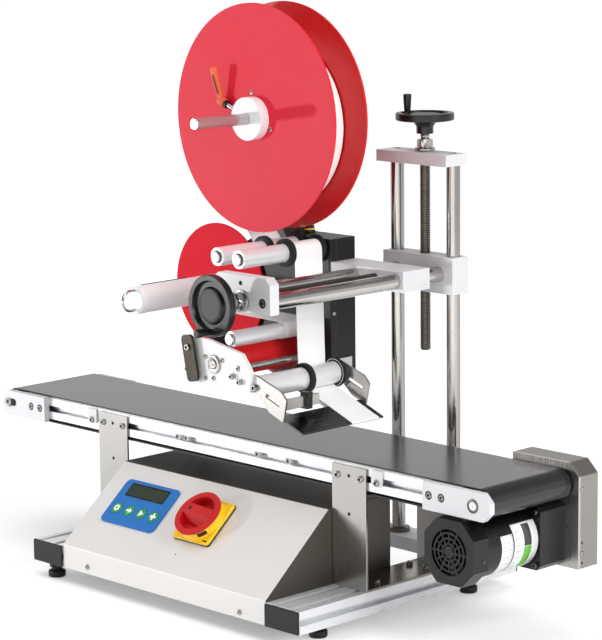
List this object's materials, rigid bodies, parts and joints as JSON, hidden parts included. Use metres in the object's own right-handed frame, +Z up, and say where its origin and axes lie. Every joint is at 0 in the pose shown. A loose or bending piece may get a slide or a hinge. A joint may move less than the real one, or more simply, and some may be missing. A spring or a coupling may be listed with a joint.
{
  "type": "top labeling machine",
  "caption": "Bench top labeling machine: belt conveyor on slotted profiles, column with lift and cross handwheels, label head with unwind reel, feed rollers, peel plate and rewinder.",
  "frame": {"origin": "on the floor under the feet, below the middle of the machine's box", "axes": "+X along the belt from the tail roller to the drive roller, +Y from the console to the rear, +Z up"},
  "size_m": [0.9383, 0.4818, 0.773],
  "materials": {
    "profile_aluminium": "clear anodised extrusion",
    "plate_aluminium": "bead blasted",
    "roller_aluminium": "fine turned",
    "black_aluminium": "black anodised, satin",
    "ground_steel": "ground and chromed",
    "screw_steel": "oiled trapezoidal thread",
    "sheet_steel": "brushed stainless",
    "dark_steel": "polished dark spring steel",
    "console_sheet": "fine matt stainless",
    "black_rubber": "matt",
    "belt_rubber": "smooth, slightly glossy",
    "red_rubber": "ground",
    "black_plastic": "fine moulded texture",
    "motor_black": "satin black",
    "keypad_blue": "membrane film",
    "key_green": "domed film",
    "switch_yellow": "moulded",
    "switch_red": "moulded",
    "board_green": "solder mask",
    "red_acrylic": "satin sheet",
    "paper_white": "coated paper",
    "white_plastic": "turned",
    "orange_plastic": "moulded"
  },
  "bodies": {
    "base": {"base_profiles": "profile_aluminium", "feet": "black_rubber", "console": "console_sheet", "keypad": "keypad_blue", "switch_plate": "switch_yellow", "control_board": "board_green", "side_rails": "profile_aluminium", "slider_bed": "sheet_steel", "conveyor_belt": "belt_rubber", "end_plates": "plate_aluminium", "support_brackets": "sheet_steel", "gearmotor": "motor_black", "drive_plate": "sheet_steel", "drive_cover": "sheet_steel", "timing_belt": "black_rubber", "cross_plate": "plate_aluminium", "posts": "ground_steel", "top_plate": "plate_aluminium"},
    "conveyor_drive": {"drive_roller": "ground_steel"},
    "conveyor_tail": {"tail_roller": "ground_steel"},
    "drive_pulley": {"motor_pulley": "ground_steel"},
    "main_switch": {"switch_knob": "switch_red"},
    "key_menu": {"key_1": "key_green"},
    "key_back": {"key_2": "key_green"},
    "key_next": {"key_3": "key_green"},
    "key_plus": {"key_4": "key_green"},
    "lift_wheel": {"lift_screw": "screw_steel", "lift_handwheel": "black_plastic"},
    "lift_wheel_grip": {"lift_grip": "black_plastic"},
    "lift": {"lift_block": "plate_aluminium", "guide_shafts": "ground_steel", "front_block": "plate_aluminium"},
    "cross_wheel": {"cross_screw": "screw_steel", "cross_handwheel": "black_plastic"},
    "cross_wheel_grip": {"cross_grip": "black_plastic"},
    "head": {"carriage": "plate_aluminium", "main_plate": "black_aluminium", "head_housing": "black_aluminium", "head_rods": "ground_steel", "side_plate": "plate_aluminium", "peel_frame": "sheet_steel", "peel_plate": "dark_steel", "label_web": "paper_white", "feed_motor": "motor_black"},
    "unwind_reel": {"reel_shaft": "ground_steel", "back_flange": "red_acrylic"},
    "roll": {"label_roll": "paper_white"},
    "reel_front": {"front_flange": "red_acrylic", "reel_collar": "white_plastic"},
    "clamp": {"clamp_lever": "orange_plastic"},
    "guide_left": {"guide_roller_1": "roller_aluminium"},
    "guide_right": {"guide_roller_2": "roller_aluminium"},
    "idler": {"idler_roller": "roller_aluminium"},
    "lower": {"lower_roller": "roller_aluminium"},
    "feed": {"feed_roller": "red_rubber"},
    "pressure": {"pressure_lever": "dark_steel"},
    "pinch": {"pinch_roller": "black_rubber"},
    "rewinder": {"rewind_flange": "red_acrylic", "rewind_mandrel": "roller_aluminium"},
    "mandrel_clip": {"rewind_clip": "ground_steel"}
  },
  "joints": [
    {"name": "belt_drive", "type": "hinge", "parent": "base", "child": "conveyor_drive", "pos_m": [0.44015, 0.0369, 0.1937], "axis": [0, 1, 0], "continuous": true},
    {"name": "belt_tail", "type": "hinge", "parent": "base", "child": "conveyor_tail", "pos_m": [-0.44985, 0.0369, 0.1937], "axis": [0, 1, 0], "continuous": true},
    {"name": "motor_turn", "type": "hinge", "parent": "base", "child": "drive_pulley", "pos_m": [0.40715, 0.1259, 0.132], "axis": [0, 1, 0], "continuous": true},
    {"name": "switch_turn", "type": "hinge", "parent": "base", "child": "main_switch", "pos_m": [0.01655, -0.09808, 0.11138], "axis": [0, 0.6542, -0.7564], "range_deg": [0, 90]},
    {"name": "press_menu", "type": "slide", "parent": "base", "child": "key_menu", "axis": [0, 0.6542, -0.7564], "range_m": [0, 0.0008], "stiffness_N_per_m": 1500},
    {"name": "press_back", "type": "slide", "parent": "base", "child": "key_back", "axis": [0, 0.6542, -0.7564], "range_m": [0, 0.0008], "stiffness_N_per_m": 1500},
    {"name": "press_next", "type": "slide", "parent": "base", "child": "key_next", "axis": [0, 0.6542, -0.7564], "range_m": [0, 0.0008], "stiffness_N_per_m": 1500},
    {"name": "press_plus", "type": "slide", "parent": "base", "child": "key_plus", "axis": [0, 0.6542, -0.7564], "range_m": [0, 0.0008], "stiffness_N_per_m": 1500},
    {"name": "lift_wheel_turn", "type": "hinge", "parent": "base", "child": "lift_wheel", "pos_m": [0.16865, 0.1609, 0.61], "axis": [0, 0, 1], "range_deg": [-11900, 3260]},
    {"name": "lift_grip_turn", "type": "hinge", "parent": "lift_wheel", "child": "lift_wheel_grip", "pos_m": [0.13765, 0.1609, 0.637], "axis": [0, 0, 1], "continuous": true},
    {"name": "lift_slide", "type": "slide", "parent": "base", "child": "lift", "axis": [0, 0, 1], "range_m": [-0.027, 0.099]},
    {"name": "cross_wheel_turn", "type": "hinge", "parent": "lift", "child": "cross_wheel", "pos_m": [0.16865, -0.2041, 0.425], "axis": [0, 1, 0], "range_deg": [-3260, 14420]},
    {"name": "cross_grip_turn", "type": "hinge", "parent": "cross_wheel", "child": "cross_wheel_grip", "pos_m": [0.16865, -0.2311, 0.394], "axis": [0, 1, 0], "continuous": true},
    {"name": "cross_slide", "type": "slide", "parent": "lift", "child": "head", "axis": [0, 1, 0], "range_m": [-0.12, 0.027]},
    {"name": "roll_turn", "type": "hinge", "parent": "head", "child": "roll", "pos_m": [0.01215, 0.0359, 0.6153], "axis": [0, 1, 0], "continuous": true},
    {"name": "reel_turn", "type": "hinge", "parent": "head", "child": "unwind_reel", "pos_m": [0.01215, 0.0709, 0.625], "axis": [0, 1, 0], "continuous": true},
    {"name": "flange_slide", "type": "slide", "parent": "unwind_reel", "child": "reel_front", "axis": [0, -1, 0], "range_m": [0, 0.08]},
    {"name": "clamp_turn", "type": "hinge", "parent": "reel_front", "child": "clamp", "pos_m": [-0.02544, -0.0011, 0.63868], "axis": [-0.9397, 0, 0.342], "range_deg": [-163, 17]},
    {"name": "guide_left_turn", "type": "hinge", "parent": "head", "child": "guide_left", "pos_m": [0.02715, -0.0091, 0.455], "axis": [0, 1, 0], "continuous": true},
    {"name": "guide_right_turn", "type": "hinge", "parent": "head", "child": "guide_right", "pos_m": [0.06715, -0.0091, 0.455], "axis": [0, 1, 0], "continuous": true},
    {"name": "idler_turn", "type": "hinge", "parent": "head", "child": "idler", "pos_m": [0.05115, -0.0091, 0.351], "axis": [0, 1, 0], "continuous": true},
    {"name": "lower_turn", "type": "hinge", "parent": "head", "child": "lower", "pos_m": [0.09915, -0.0091, 0.295], "axis": [0, 1, 0], "continuous": true},
    {"name": "feed_turn", "type": "hinge", "parent": "head", "child": "feed", "pos_m": [0.02815, -0.0091, 0.317], "axis": [0, 1, 0], "continuous": true},
    {"name": "pressure_swing", "type": "hinge", "parent": "head", "child": "pressure", "pos_m": [-0.01245, -0.0091, 0.3353], "axis": [0, -1, 0], "range_deg": [0, 35]},
    {"name": "pinch_turn", "type": "hinge", "parent": "pressure", "child": "pinch", "pos_m": [0.00425, -0.0091, 0.33705], "axis": [0, 1, 0], "continuous": true},
    {"name": "rewind_turn", "type": "hinge", "parent": "head", "child": "rewinder", "pos_m": [-0.11985, 0.0709, 0.384], "axis": [0, 1, 0], "continuous": true},
    {"name": "clip_pull", "type": "slide", "parent": "rewinder", "child": "mandrel_clip", "axis": [0, -1, 0], "range_m": [0, 0.03]}
  ],
  "couplings": [
    {"joint": "belt_tail", "follows": "belt_drive", "ratio": 1},
    {"joint": "motor_turn", "follows": "belt_drive", "ratio": 1},
    {"joint": "lift_wheel_turn", "follows": "lift_slide", "rad_per_m": -2094.4},
    {"joint": "cross_wheel_turn", "follows": "cross_slide", "rad_per_m": -2094.4},
    {"joint": "reel_turn", "follows": "roll_turn", "ratio": 1.3571},
    {"joint": "guide_left_turn", "follows": "roll_turn", "ratio": 9.0833},
    {"joint": "guide_right_turn", "follows": "roll_turn", "ratio": -9.0833},
    {"joint": "lower_turn", "follows": "roll_turn", "ratio": 7.5172},
    {"joint": "feed_turn", "follows": "roll_turn", "ratio": -5.45},
    {"joint": "pinch_turn", "follows": "roll_turn", "ratio": 10.9},
    {"joint": "idler_turn", "follows": "roll_turn", "ratio": 10.381},
    {"joint": "rewind_turn", "follows": "roll_turn", "ratio": -5.8919}
  ]
}
